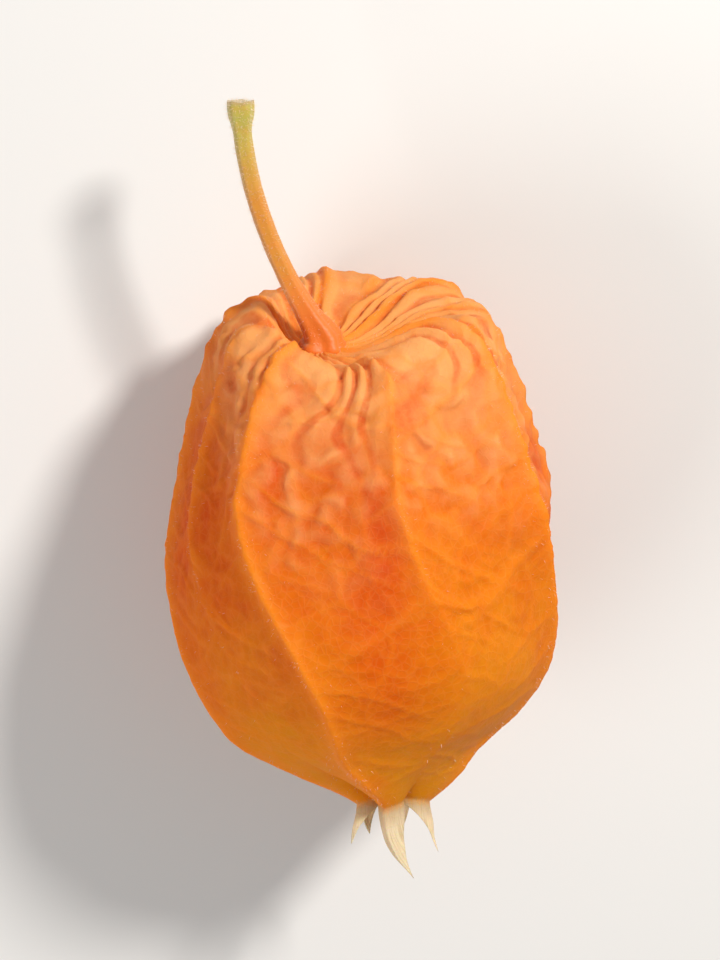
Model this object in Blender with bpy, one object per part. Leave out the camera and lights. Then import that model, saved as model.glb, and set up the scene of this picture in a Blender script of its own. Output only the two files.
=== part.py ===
"""A physalis fruit as picked, lying on its side: a ribbed paper lantern husk, its stalk and its berry.

Metres, +Z up. The stalk points along +Y, the husk's tip along -Y, and the husk rests on z = 0.
The lantern frame has its origin on the husk's axis at the top of the shoulder. Its +Y runs out
through the stalk, and "depth" below means the distance from the shoulder towards the tip.
"""

import math

import bmesh
import bpy
from mathutils import Matrix, Vector

MM = 0.001

# Husk
HUSK_RADIUS = 18.6 * MM  # to the crest of a main rib, at the widest
HUSK_LENGTH = 50.5 * MM  # from the shoulder to the mouth between the lobes
WALL = 0.8 * MM
# The crest of a main rib, from the stalk's hole to the mouth: shares of radius and of length.
CREST = (
    (0.085, 0.064), (0.20, 0.058), (0.34, 0.022), (0.50, 0.0), (0.65, 0.017), (0.76, 0.070),
    (0.84, 0.165), (0.91, 0.29), (0.97, 0.41), (1.0, 0.525), (0.979, 0.63), (0.90, 0.73),
    (0.725, 0.825), (0.535, 0.89), (0.345, 0.95), (0.19, 0.995),
)
CREST_STEPS = 16  # straight pieces in each span of the crest's curve
MOUTH_SHIFT = 2.8 * MM  # how far the mouth lies to +X
MOUTH_SHIFTS = (0.86, 1.0)  # shares of the length between which that grows
MOUTH_PINCH = 1.5 * MM  # how far the wall is drawn in between the lobes

# The stalk's seat is off the axis, and the shoulder slopes down towards the side that faces up.
SEAT_SHIFT = Vector((-3.9 * MM, 0, 3 * MM))
SHOULDER_SLOPE = 0.2
SLOPE_FROM = -9 * MM  # the height across the axis at which the slope takes nothing off
SLOPE_ENDS = (0.09, 0.42)  # shares of the length between which the slope dies out
FRONT_DROP = 2.6 * MM  # a dip in the shoulder in front of the seat
FRONT_ANGLE = math.radians(-14)

# Main ribs in degrees round the axis from straight up, +X side first. One lobe ends each of them.
MAIN_RIBS = (-41, 62, 135, 200, 262)
MAIN_RIB_RISE = 0.45 * MM
MIDDLE_RIB_RISE = 0.3 * MM  # the ribs half way between
MIDDLE_RIB_DROP = 0.6 * MM  # how far those lie inside the main ribs
TWIST = math.radians(30)  # the ribs swing round by this towards the tip
TWISTS = (0.33, 0.86)  # shares of the length between which they do
SINK_TOP, SINK_TIP = 1.35, 0.45  # how deep the panels sink, 1 being flat from rib to rib
COLUMN_STEP = 5.2  # degrees between columns of the mesh, about

# Raised net: rows bend towards the tip between the ribs, as side veins do.
BODY_ROWS = 48
VEIN_EVERY = 3
VEIN_RISE = 0.36 * MM
VEIN_BEND = 3.2 * MM
FOLD_RISE = 0.22 * MM  # folds that fan out from the stalk
FOLDS_END = 14 * MM

# Lobes, one to a main rib: length, how far its tip leans out, and how far that swings, in radians
LOBES = (
    (6.2 * MM, 0.3 * MM, 0.7),
    (4.4 * MM, 0.5 * MM, -0.2),
    (4.8 * MM, 0.9 * MM, 0.3),
    (3.6 * MM, 0.2 * MM, -0.3),
    (3.4 * MM, 0.4 * MM, 0.1),
)
LOBE_ROWS = 4
NOTCH = 0.6 * MM  # depth of the last rows between two lobes
LOBE_SHARPNESS = 1.25

# Stalk
SEAT_DEPTH = 0.064 * HUSK_LENGTH
SEAT_AXIS = Vector((0, 1, SHOULDER_SLOPE)).normalized()
GAP = 0.3 * MM
NECK_RADIUS = 1.15 * MM
COLLAR_RADIUS = 2.1 * MM
COLLAR_HEIGHT = 0.9 * MM
DISC_RADIUS = 2.4 * MM
DISC_THICKNESS = 0.9 * MM
STALK_RADIUS = 0.85 * MM
STALK_END_RADIUS = 1.25 * MM
STALK_REACH = Vector((-7.6 * MM, 22.6 * MM, 3.4 * MM))  # from the collar to the picked end
STALK_POINTS = 22

# Berry
BERRY_RADIUS = 7.1 * MM
BERRY_HEIGHT = 13.6 * MM
BERRY_DIMPLE = 0.5 * MM
BERRY_SIDES = 28
BERRY_RINGS = 14

# How the lantern lies: the stalk end dips, and the husk is pressed flat where it touches.
REST_DIP = math.radians(8)
REST_PLACE = Vector((0.31 * MM, 18.37 * MM, 13.95 * MM))  # of the lantern frame's origin

COLOURS = {  # base colour, roughness
    "husk": ((0.83, 0.20, 0.025, 1), 0.62),
    "stalk": ((0.72, 0.30, 0.03, 1), 0.55),
    "berry": ((0.72, 0.06, 0.01, 1), 0.18),
}


def clear_scene():
    for thing in list(bpy.data.objects):
        bpy.data.objects.remove(thing)


def material(name):
    colour, roughness = COLOURS[name]
    made = bpy.data.materials.new(name)
    made.use_nodes = True
    shader = made.node_tree.nodes["Principled BSDF"]
    shader.inputs["Base Color"].default_value = colour
    shader.inputs["Roughness"].default_value = roughness
    shader.inputs["Metallic"].default_value = 0
    return made


def smoothstep(low, high, value):
    share = min(1, max(0, (value - low) / (high - low)))
    return share * share * (3 - 2 * share)


def mix(first, second, share):
    return first + (second - first) * share


def crest_curve():
    """The crest as close points (radius, depth), with the length along it up to each point."""
    knots = [Vector((radius * HUSK_RADIUS, depth * HUSK_LENGTH)) for radius, depth in CREST]
    knots = [knots[0] * 2 - knots[1], *knots, knots[-1] * 2 - knots[-2]]
    points = []
    for a, b, c, d in zip(knots, knots[1:], knots[2:], knots[3:]):
        for step in range(CREST_STEPS):
            t = step / CREST_STEPS
            squared = (2 * a - 5 * b + 4 * c - d) * t**2
            cubed = (3 * b - a - 3 * c + d) * t**3
            points.append(0.5 * (2 * b + (c - a) * t + squared + cubed))
    points.append(knots[-2])
    lengths = [0]
    for start, end in zip(points, points[1:]):
        lengths.append(lengths[-1] + (end - start).length)
    return points, lengths


CREST_POINTS, CREST_LENGTHS = crest_curve()
CREST_END = CREST_LENGTHS[-1]


def on_crest(along):
    """(radius, depth) at a length along the crest, and the outward normal there."""
    index = 1
    while index < len(CREST_LENGTHS) - 1 and CREST_LENGTHS[index] < along:
        index += 1
    start, end = CREST_POINTS[index - 1], CREST_POINTS[index]
    share = (along - CREST_LENGTHS[index - 1]) / (CREST_LENGTHS[index] - CREST_LENGTHS[index - 1])
    direction = (end - start).normalized()
    return start.lerp(end, share), Vector((direction.y, -direction.x))


def column_places():
    """Each column of the mesh: its angle, the half width of its panel, its share of the way from
    the main rib to the middle rib, its main rib's number, and its own number in the panel."""
    columns = []
    count = len(MAIN_RIBS)
    for rib in range(count):
        start = MAIN_RIBS[rib]
        end = MAIN_RIBS[(rib + 1) % count] + (360 if rib == count - 1 else 0)
        half = (end - start) / 2
        steps = 2 * round(half / COLUMN_STEP / 2)
        for side in (0, 1):
            for step in range(steps):
                share = step / steps
                angle = math.radians(start + half * (side + share))
                from_main = share if side == 0 else 1 - share
                owner = rib if side == 0 else (rib + 1) % count
                columns.append((angle, math.radians(half / 2), from_main, owner, step))
    return columns


def panel_sink(along, radius, half_width, from_main):
    """How far the surface lies inside the crest, between a main rib and a middle rib."""
    share = mix(SINK_TOP, SINK_TIP, smoothstep(0.35, 0.75, along / CREST_END))
    flat = radius * (1 - math.cos(half_width))
    drop = MIDDLE_RIB_DROP * smoothstep(0, 0.15, along / CREST_END) * from_main**2
    return share * flat * math.sin(math.pi * from_main) + drop


def relief(along, row, column):
    """The ribs, the net and the folds by the stalk, which stand out of the panels."""
    _, _, from_main, owner, step = column
    ends = smoothstep(0, 5 * MM, along) * smoothstep(0, 8 * MM, CREST_END - along)
    rise = 0
    if from_main == 0:
        rise += MAIN_RIB_RISE
    elif from_main == 1:
        rise += MIDDLE_RIB_RISE
    elif (row + owner) % VEIN_EVERY == 0:
        rise += VEIN_RISE * (0.8 + 0.3 * math.sin(row * 2.3 + owner * 1.7)) * smoothstep(0, 0.35, from_main)
    elif 0.4 < from_main < 0.6 and (row // VEIN_EVERY + owner) % 2:
        rise += VEIN_RISE * 0.8
    fold = FOLD_RISE * (1 if step % 2 == 0 else -1)
    return ends * rise + fold * ends * smoothstep(0, FOLDS_END, FOLDS_END - along)


def husk_point(along, column, outward):
    """A point of the husk in the lantern frame, this far outside the sunk panel."""
    angle, half_width, from_main, owner, _ = column
    (radius, depth), normal = on_crest(min(along, CREST_END))
    past_mouth = max(0, along - CREST_END)
    height = outward - panel_sink(along, radius, half_width, from_main)
    lobe_length, lobe_lean, lobe_swing = LOBES[owner]
    in_lobe = (past_mouth / lobe_length) ** 2
    radius += normal.x * height + lobe_lean * in_lobe
    depth += normal.y * height + past_mouth
    share = depth / HUSK_LENGTH
    front = max(0, math.cos(angle - FRONT_ANGLE)) ** 3
    angle += TWIST * smoothstep(*TWISTS, share) + lobe_swing * in_lobe
    radius -= MOUTH_PINCH * from_main**2 * smoothstep(*MOUTH_SHIFTS, share)

    place = Vector((radius * math.sin(angle), -depth, radius * math.cos(angle)))
    if share < 0.25:
        place += SEAT_SHIFT * (1 - smoothstep(0.1, 0.6, radius / HUSK_RADIUS))
    place.x += MOUTH_SHIFT * smoothstep(*MOUTH_SHIFTS, share)
    place.y -= SHOULDER_SLOPE * (place.z - SLOPE_FROM) * (1 - smoothstep(*SLOPE_ENDS, share))
    at_front = front * smoothstep(MM, 7 * MM, along) * (1 - smoothstep(10 * MM, 22 * MM, along))
    place.y -= FRONT_DROP * at_front
    return place


def pressed(point, lantern, floor):
    """The point, lifted to the floor's height if it lies under it."""
    world = lantern @ point
    world.z = max(world.z, floor)
    return lantern.inverted() @ world


def skin(bm, columns, rows, inset, lantern):
    """One side of the husk's wall as rings of vertices, the first at the stalk's hole."""
    rings = []
    for row in range(rows + 1):
        ring = []
        for column in columns:
            from_main = column[2]
            along = CREST_END * row / rows
            ends = smoothstep(0, 12 * MM, along) * smoothstep(0, 12 * MM, CREST_END - along)
            along += VEIN_BEND * ends * math.sin(math.pi * from_main)
            outward = -inset if inset else relief(along, row, column)
            ring.append(bm.verts.new(pressed(husk_point(along, column, outward), lantern, inset)))
        rings.append(ring)
    for row in range(1, LOBE_ROWS + 1):
        ring = []
        for column in columns:
            _, _, from_main, owner, _ = column
            reach = NOTCH + (LOBES[owner][0] - NOTCH) * (1 - from_main) ** LOBE_SHARPNESS
            along = CREST_END + reach * row / LOBE_ROWS
            ring.append(bm.verts.new(pressed(husk_point(along, column, -inset), lantern, inset)))
        rings.append(ring)
    for ring, following in zip(rings, rings[1:]):
        for corners in zip(ring, ring[1:] + ring[:1], following[1:] + following[:1], following):
            bm.faces.new(corners)
    return rings


def ring_edges(bm, ring):
    return [bm.edges.get((start, end)) for start, end in zip(ring, ring[1:] + ring[:1])]


def finished(name, data, parent):
    """The object of a sub-part, in the lantern frame."""
    made = bpy.data.objects.new(name, data)
    made.data.materials.append(material(name))
    made.parent = parent
    bpy.context.scene.collection.objects.link(made)
    return made


def mesh_from(name, bm):
    bm.normal_update()
    bmesh.ops.recalc_face_normals(bm, faces=bm.faces)
    mesh = bpy.data.meshes.new(name)
    bm.to_mesh(mesh)
    bm.free()
    mesh.shade_smooth()
    mesh.set_sharp_from_angle(angle=math.radians(60))
    return mesh


def make_husk(parent, lantern):
    """A paper-thin shell: an outer skin with the relief, a plain inner skin, and the two rims."""
    bm = bmesh.new()
    columns = column_places()
    outer = skin(bm, columns, BODY_ROWS, 0, lantern)
    inner = skin(bm, columns[::2], BODY_ROWS // 2, WALL, lantern)
    for end in (0, -1):
        bmesh.ops.bridge_loops(bm, edges=ring_edges(bm, outer[end]) + ring_edges(bm, inner[end]))
    bmesh.ops.triangulate(bm, faces=bm.faces, quad_method="SHORT_EDGE")
    return finished("husk", mesh_from("husk", bm), parent)


def at_seat(inward):
    """The place this far into the husk, square to the seat, from the middle of its hole."""
    middle = SEAT_SHIFT - Vector((0, SEAT_DEPTH + SHOULDER_SLOPE * (SEAT_SHIFT.z - SLOPE_FROM), 0))
    return middle - SEAT_AXIS * inward


def stalk_route():
    """Points and radii from the disc inside the husk, out through its hole, to the picked end."""
    disc_top = WALL + GAP
    route = [
        (disc_top + DISC_THICKNESS, DISC_RADIUS * 0.8),
        (disc_top + DISC_THICKNESS * 0.6, DISC_RADIUS),
        (disc_top + DISC_THICKNESS * 0.2, DISC_RADIUS * 0.9),
        (disc_top, NECK_RADIUS),
        (-GAP, NECK_RADIUS),
        (-GAP * 1.3, COLLAR_RADIUS),
    ]
    points = [(at_seat(inward), radius) for inward, radius in route]
    start = at_seat(-COLLAR_HEIGHT)
    for step in range(STALK_POINTS + 1):
        t = step / STALK_POINTS
        bend = Vector((1 - (1 - t) ** 1.9, t, 1 - (1 - t) ** 1.3))
        collar = (COLLAR_RADIUS - STALK_RADIUS) * math.exp(-0.3 - t * 10)
        end = (STALK_END_RADIUS - STALK_RADIUS) * smoothstep(0.86, 0.97, t)
        place = start + Vector([along * reach for along, reach in zip(bend, STALK_REACH)])
        points.append((place, STALK_RADIUS + collar + end))
    return points


def make_stalk(parent):
    curve = bpy.data.curves.new("stalk", "CURVE")
    curve.dimensions = "3D"
    curve.bevel_depth = 1
    curve.bevel_resolution = 5
    curve.use_fill_caps = True
    route = stalk_route()
    spline = curve.splines.new("POLY")
    spline.points.add(len(route) - 1)
    for point, (place, radius) in zip(spline.points, route):
        point.co = (*place, 1)
        point.radius = radius
    spline.use_smooth = True
    return finished("stalk", curve, parent)


def make_berry(parent):
    """A round berry, a little dimpled where it sits on the stalk's disc."""
    bm = bmesh.new()
    bmesh.ops.create_uvsphere(bm, u_segments=BERRY_SIDES, v_segments=BERRY_RINGS, radius=1)
    for vertex in bm.verts:
        vertex.co.z -= BERRY_DIMPLE / BERRY_HEIGHT * 2 * smoothstep(0.9, 1, vertex.co.z)
    middle = at_seat(WALL + 2 * GAP + DISC_THICKNESS - BERRY_DIMPLE + BERRY_HEIGHT / 2)
    sizes = Matrix.Diagonal((BERRY_RADIUS, BERRY_RADIUS, BERRY_HEIGHT / 2, 1))
    turn = Vector((0, 0, 1)).rotation_difference(SEAT_AXIS).to_matrix().to_4x4()
    bmesh.ops.transform(bm, matrix=Matrix.Translation(middle) @ turn @ sizes, verts=bm.verts)
    return finished("berry", mesh_from("berry", bm), parent)


def main():
    clear_scene()
    lantern = bpy.data.objects.new("lantern", None)
    lantern.location = REST_PLACE
    lantern.rotation_euler = (-REST_DIP, 0, 0)
    bpy.context.scene.collection.objects.link(lantern)
    lies = Matrix.Translation(REST_PLACE) @ Matrix.Rotation(-REST_DIP, 4, "X")
    make_husk(lantern, lies)
    make_stalk(lantern)
    make_berry(lantern)


main()
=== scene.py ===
"""The look of a picked physalis fruit: its veined paper lantern, hairy stalk and glossy berry.

Metres, +Z up. The lantern lies on its side with its stalk along +Y. Its shape is worked out in the
lantern frame, whose origin is on the husk's axis at the top of the shoulder. "Depth" is the
distance from there towards the tip, and "along" the distance over the surface from the stalk.
"""

import math

import bpy
import numpy as np
from mathutils import Matrix, Vector, noise


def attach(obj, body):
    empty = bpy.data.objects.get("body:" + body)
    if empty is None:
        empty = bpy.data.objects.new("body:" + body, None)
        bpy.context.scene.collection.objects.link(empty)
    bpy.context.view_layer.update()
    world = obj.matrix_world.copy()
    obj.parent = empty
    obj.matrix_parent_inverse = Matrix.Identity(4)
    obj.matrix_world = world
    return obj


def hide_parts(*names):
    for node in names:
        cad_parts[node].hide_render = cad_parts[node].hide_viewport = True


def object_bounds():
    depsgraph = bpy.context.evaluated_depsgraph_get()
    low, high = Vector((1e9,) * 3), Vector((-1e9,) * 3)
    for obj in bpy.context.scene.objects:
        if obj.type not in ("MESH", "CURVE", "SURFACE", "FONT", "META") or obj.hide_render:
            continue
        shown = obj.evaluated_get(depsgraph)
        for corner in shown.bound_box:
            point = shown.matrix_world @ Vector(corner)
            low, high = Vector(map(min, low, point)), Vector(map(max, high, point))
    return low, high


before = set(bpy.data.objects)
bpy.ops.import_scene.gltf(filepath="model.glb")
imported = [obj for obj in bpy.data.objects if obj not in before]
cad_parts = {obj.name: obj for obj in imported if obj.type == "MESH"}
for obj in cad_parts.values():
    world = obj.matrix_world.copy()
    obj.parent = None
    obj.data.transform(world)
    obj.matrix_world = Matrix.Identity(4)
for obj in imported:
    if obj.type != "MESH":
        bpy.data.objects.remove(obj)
CAD_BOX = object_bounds()

bl_info = {
    "name": "Physalis Fruit",
    "version": (1, 0, 0),
    "blender": (4, 5, 0),
    "location": "View3D > Sidebar > Physalis",
    "description": "Builds a picked physalis lantern with its stalk and berry",
    "category": "Add Mesh",
}

MM = 0.001
BODY = "root"

# The husk's crest, from the stalk's hole to the mouth: shares of radius and of length
HUSK_RADIUS = 18.6 * MM
HUSK_LENGTH = 50.5 * MM
CREST = (
    (0.085, 0.064), (0.20, 0.058), (0.34, 0.022), (0.50, 0.0), (0.65, 0.017), (0.76, 0.070),
    (0.84, 0.165), (0.91, 0.29), (0.97, 0.41), (1.0, 0.525), (0.979, 0.63), (0.90, 0.73),
    (0.725, 0.825), (0.535, 0.89), (0.345, 0.95), (0.19, 0.995),
)
CREST_STEPS = 16
MOUTH_SHIFT = 2.8 * MM
MOUTH_SHIFTS = (0.86, 1.0)
MOUTH_PINCH = 1.5 * MM

# The seat of the stalk, and the shoulder's slope
SEAT_SHIFT = np.array((-3.9 * MM, 0, 3 * MM))
SEAT_SHIFTS = (0.1, 0.6)  # shares of the radius over which the shift fades
SHOULDER_SLOPE = 0.2
SLOPE_FROM = -9 * MM
SLOPE_ENDS = (0.09, 0.42)
FRONT_ANGLE = math.radians(-14)
FRONT_DROP = 2.6 * MM
FRONT_DROPS = (MM, 7 * MM, 10 * MM, 22 * MM)  # along: where it grows, and where it fades
SEAT_DEPTH = 0.064 * HUSK_LENGTH
SEAT_AXIS = Vector((0, 1, SHOULDER_SLOPE)).normalized()

# Ribs in degrees round the axis, one lobe to each: length, lean and swing of the lobe's tip
MAIN_RIBS = (-41, 62, 135, 200, 262)
LOBES = (
    (6.2 * MM, 0.3 * MM, 0.7),
    (4.4 * MM, 0.5 * MM, -0.2),
    (4.8 * MM, 0.9 * MM, 0.3),
    (3.6 * MM, 0.2 * MM, -0.3),
    (3.4 * MM, 0.4 * MM, 0.1),
)
NOTCH = 0.6 * MM
LOBE_SHARPNESS = 1.6
LOBE_KEEL = 0.5 * MM
MIDDLE_RIB_DROP = 0.6 * MM
MAIN_RIB_WIDTHS = (1.5 * MM, 0.5 * MM)  # base and crest
MIDDLE_RIB_WIDTHS = (1.4 * MM, 0.45 * MM)
RIB_COLOUR_WIDTHS = (0.6 * MM, 1.9 * MM)
TWIST = math.radians(30)
TWISTS = (0.33, 0.86)
SINK_TOP, SINK_TIP = 1.35, 0.45

# The paper between the ribs, which has ten panels
VEIN_BEND = 3.2 * MM
VEIN_SPACING = 5.2 * MM
VEIN_SLANT = 0.5
VEIN_WIDTHS = (0.5 * MM, 0.34 * MM)  # at the rib and at its end
NETS = ((1.9, 11), (0.6, 12))  # size as a share of the net's spacing, seed
NET_TRIES = 12000
FOLDS_END = 19 * MM
PANEL_TONES = (0.22, 0.75, 0.5, 0.5, 0.3, 0.55, 0.35, 0.55, 0.45, 0.2)  # 0 is red, 1 is yellow

# Angles of the sides where the puffs reach lowest and where they end first
PUFFS_ANGLE = math.radians(-28)
SMOOTH_ANGLE = math.radians(-80)

# Uneven growth: broad swellings with one dent, and short creases across the panels
SWELLINGS = (  # degrees, depth and spread as shares of the length, height
    (61, 0.79, 0.11, 0.8 * MM),
    (-119, 0.84, 0.11, 0.9 * MM),
    (76, 0.42, 0.08, 0.8 * MM),
    (72, 0.10, 0.09, -0.8 * MM),
)
CREASES = (  # degrees, share of the way down, half length, height
    (20, 0.60, 2.6 * MM, 0.35 * MM),
    (26, 0.565, 1.6 * MM, 0.2 * MM),
    (-22, 0.66, 1.8 * MM, 0.2 * MM),
    (150, 0.55, 2.4 * MM, 0.3 * MM),
    (-125, 0.62, 2.2 * MM, 0.3 * MM),
)
CREASE_WIDTH = 0.55 * MM
CREASE_BEND = 0.5 * MM

# The husk's mesh: degrees between its columns, rows down its body and down its lobes
COLUMN_STEP = 0.95
BODY_ROWS = 201
LOBE_ROWS = 12

# The hairs, which grow on the husk only above this level
HAIR_LEVEL = 0.7 * MM
HAIR_RADIUS = 0.016 * MM
HAIR_SIZES = (0.5, 1.1)
HAIR_LEAN = 0.6
HUSK_HAIR_SHARE = 0.8  # of the length of the stalk's hairs
HAIR_TINT = (0.9, 0.6, 0.4)

# The stalk and the berry
GAP = 0.3 * MM
CAD_WALL = 0.8 * MM
NECK_RADIUS = 1.15 * MM
COLLAR_RADIUS = 2.1 * MM
COLLAR_HEIGHT = 0.9 * MM
DISC_RADIUS = 2.4 * MM
DISC_THICKNESS = 0.9 * MM
STALK_RADIUS = 0.85 * MM
STALK_END_RADIUS = 1.25 * MM
STALK_REACH = Vector((-7.6 * MM, 22.6 * MM, 3.4 * MM))
STALK_POINTS = 44
STALK_SIDES = 60
STALK_GROOVES = 5.0
BROKEN_TINT = (0.42, 0.30, 0.12)
BERRY_RADIUS = 7.1 * MM
BERRY_HEIGHT = 13.6 * MM
BERRY_DIMPLE = 0.5 * MM
BERRY_SIDES, BERRY_RINGS = 96, 64
SCAR_TINT = (0.12, 0.05, 0.02)

# How the lantern lies
REST_DIP = math.radians(8)
REST_PLACE = Vector((0.31 * MM, 18.37 * MM, 13.95 * MM))
LANTERN = Matrix.Translation(REST_PLACE) @ Matrix.Rotation(-REST_DIP, 4, "X")

# The camera looks down on the lantern, from a little to the stalk's side
CAMERA_ELEVATION = math.radians(74)
CAMERA_LENS = 180  # mm
CAMERA_SENSOR = 36  # mm, over the taller side of the frame
FRAME_HEIGHT = 92 * MM

# The lights, each with its place, the width of its disc and its tint, and the floor
KEY_LIGHT = ((0.24, 0.26, 0.32), 0.08, (1.0, 0.97, 0.93))
FILL_LIGHT = ((-0.36, -0.22, 0.30), 0.36, (1.0, 0.98, 0.96))
LIT_PLACE = Vector((0, 0, 15 * MM))
SKY_TINT = (0.95, 0.97, 1.0, 1)
FLOOR_HALF_SIDE = 3.0
FLOOR_LEVEL = -0.05 * MM


def length(name, description, default):
    """A distance that a user can change."""
    limits = {"min": 0, "precision": 5, "subtype": "DISTANCE", "unit": "LENGTH"}
    return bpy.props.FloatProperty(name=name, description=description, default=default, **limits)


def colour(name, description, default):
    """A colour that a user can change."""
    return bpy.props.FloatVectorProperty(
        name=name, description=description, default=default, size=3, min=0, max=1, subtype="COLOR"
    )


class HuskChoices(bpy.types.PropertyGroup):
    """Sizes and colours of the paper lantern."""

    wall: length("Wall", "Thickness of the paper", 0.4 * MM)
    main_rib: length("Main rib", "Height of the five main ribs", 0.6 * MM)
    middle_rib: length("Middle rib", "Height of the ribs half way between", 0.42 * MM)
    vein: length("Side vein", "Height of the side veins", 0.27 * MM)
    net: length("Net", "Height of the net between the side veins", 0.15 * MM)
    net_spacing: length("Net spacing", "Size of the net's meshes", 2.7 * MM)
    pucker: length("Pucker", "How far the paper puffs out in each mesh", 0.7 * MM)
    fold: length("Fold", "Height of the folds round the stalk", 0.3 * MM)
    # Red paper is the reddest panels' own colour, and is also used for painted shade beside the middle ribs
    # and in the fold valleys
    red: colour("Red paper", "Colour of the reddest panels", (0.72, 0.07, 0.002))
    yellow: colour("Yellow paper", "Colour of the yellowest panels", (0.84, 0.26, 0.005))
    # Pale paper is painted highlight on the shoulder and on the tops of the puffs, and also the real paler
    # mottling and fine net lines
    pale: colour("Pale paper", "Colour of the shoulder and its puffs", (0.98, 0.56, 0.20))
    # The rib colour is partly the ribs' own paler tone and partly a painted highlight along them
    rib: colour("Ribs", "Colour of the ribs and veins", (1.0, 0.35, 0.02))
    tip: colour("Tip", "Colour near the mouth", (0.86, 0.41, 0.004))
    inner: colour("Inner paper", "Colour of the inner side", (1.0, 0.50, 0.16))
    dry: colour("Dry lobes", "Colour of the lobe tips", (0.90, 0.82, 0.60))
    withered: colour("Withered", "Colour of the base of the lobes", (0.46, 0.32, 0.10))
    hairs: bpy.props.IntProperty(name="Hairs", description="Hairs on the ribs", default=2400, min=0)


class StalkChoices(bpy.types.PropertyGroup):
    """Sizes and colours of the stalk."""

    groove: length("Groove", "Depth of the grooves along the stalk", 0.07 * MM)
    hair_length: length("Hair length", "Length of the hairs", 0.45 * MM)
    hairs: bpy.props.IntProperty(name="Hairs", description="Hairs on the stalk", default=1500, min=0)
    base: colour("Base", "Colour where it meets the husk", (0.66, 0.15, 0.01))
    middle: colour("Middle", "Colour along its length", (0.56, 0.22, 0.02))
    end: colour("End", "Colour near the picked end", (0.42, 0.36, 0.06))


class BerryChoices(bpy.types.PropertyGroup):
    """Colours of the berry."""

    skin: colour("Skin", "Colour of the skin", (0.88, 0.17, 0.015))
    blush: colour("Blush", "Paler colour round the stalk", (0.92, 0.34, 0.04))


class StageChoices(bpy.types.PropertyGroup):
    """The floor and the lights."""

    floor: colour("Floor", "Colour of the floor", (0.70, 0.69, 0.67))
    key: bpy.props.FloatProperty(name="Key light", description="Power", default=2.65, min=0, unit="POWER")
    fill: bpy.props.FloatProperty(name="Fill light", description="Power", default=1.45, min=0, unit="POWER")
    sky: bpy.props.FloatProperty(
        name="Sky", description="Strength of the light all round", default=0.28, min=0
    )


class Socket:
    """A socket that gives a value. Sums on it add Math nodes."""

    def __init__(self, nodes, socket):
        self.nodes = nodes
        self.socket = socket

    def sum(self, operation, first, second):
        """The result of a Math node on two sockets or numbers."""
        return self.nodes.node("ShaderNodeMath", {"operation": operation}, {0: first, 1: second})

    def __add__(self, other):
        return self.sum("ADD", self, other)

    def __sub__(self, other):
        return self.sum("SUBTRACT", self, other)

    def __rsub__(self, other):
        return self.sum("SUBTRACT", other, self)

    def __mul__(self, other):
        return self.sum("MULTIPLY", self, other)

    def __pow__(self, other):
        return self.sum("POWER", self, other)

    __radd__ = __add__
    __rmul__ = __mul__


class Nodes:
    """A node tree that is filled by one method."""

    def __init__(self, tree):
        self.tree = tree

    def node(self, kind, settings=None, sockets=None, out=0):
        """Adds a node, sets its settings, then the values or links of its sockets."""
        made = self.tree.nodes.new(kind)
        for name, value in (settings or {}).items():
            if name == "stops":
                self.set_stops(made.color_ramp, value)
            else:
                setattr(made, name, value)
        for name, value in (sockets or {}).items():
            if isinstance(value, Socket):
                self.tree.links.new(value.socket, made.inputs[name])
            else:
                made.inputs[name].default_value = value
        return Socket(self, made.outputs[out]) if made.outputs else made

    def set_stops(self, ramp, stops):
        """Gives a ramp its grey stops, each a place and a value."""
        for _ in range(len(stops) - 2):
            ramp.elements.new(0.5)
        for element, (place, value) in zip(ramp.elements, stops):
            element.position = place
            element.color = (value, value, value, 1)

    def attribute(self, name):
        return self.node("ShaderNodeAttribute", {"attribute_name": name}, out="Fac")

    def place(self):
        return self.node("ShaderNodeTexCoord", out="Object")

    def noise(self, size, detail=2, roughness=0.5):
        """Cloudy noise whose blotches are this many metres across."""
        sockets = {"Vector": self.place(), "Scale": 1 / size, "Detail": detail, "Roughness": roughness}
        return self.node("ShaderNodeTexNoise", None, sockets, out="Fac")

    def ramp(self, value, *stops):
        """A value mapped by stops, flat beyond the first and the last."""
        return self.node("ShaderNodeValToRGB", {"stops": stops}, {"Fac": value})

    def mix(self, share, first, second):
        """One colour turned into another by a share."""
        colours = [value if isinstance(value, Socket) else (*value, 1) for value in (first, second)]
        settings = {"data_type": "RGBA", "clamp_factor": True}
        return self.node("ShaderNodeMix", settings, {0: share, 6: colours[0], 7: colours[1]}, out=2)

    def layered(self, shade, *layers):
        """A colour under others, each with its own share."""
        for share, over in layers:
            shade = self.mix(share, shade, over)
        return shade

    def bump(self, height, distance):
        """The normal of a surface that rises this far, in metres, where the height is 1."""
        return self.node("ShaderNodeBump", None, {"Height": height, "Distance": distance})


class Finish(Nodes):
    """A material with a Principled shader."""

    def __init__(self, name):
        self.material = bpy.data.materials.new(name)
        self.material.use_nodes = True
        super().__init__(self.material.node_tree)
        self.tree.nodes.clear()

    def surface(self, constants, shade, rough, normal=None):
        """A Principled shader with these constant inputs."""
        sockets = constants | {"Base Color": shade, "Roughness": rough}
        if normal:
            sockets["Normal"] = normal
        return self.node("ShaderNodeBsdfPrincipled", None, sockets)

    def finished(self, shader):
        """The material with this shader on its surface."""
        self.node("ShaderNodeOutputMaterial", None, {"Surface": shader})
        return self.material

    def plain(self, *inputs):
        return self.finished(self.surface(*inputs))


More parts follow.
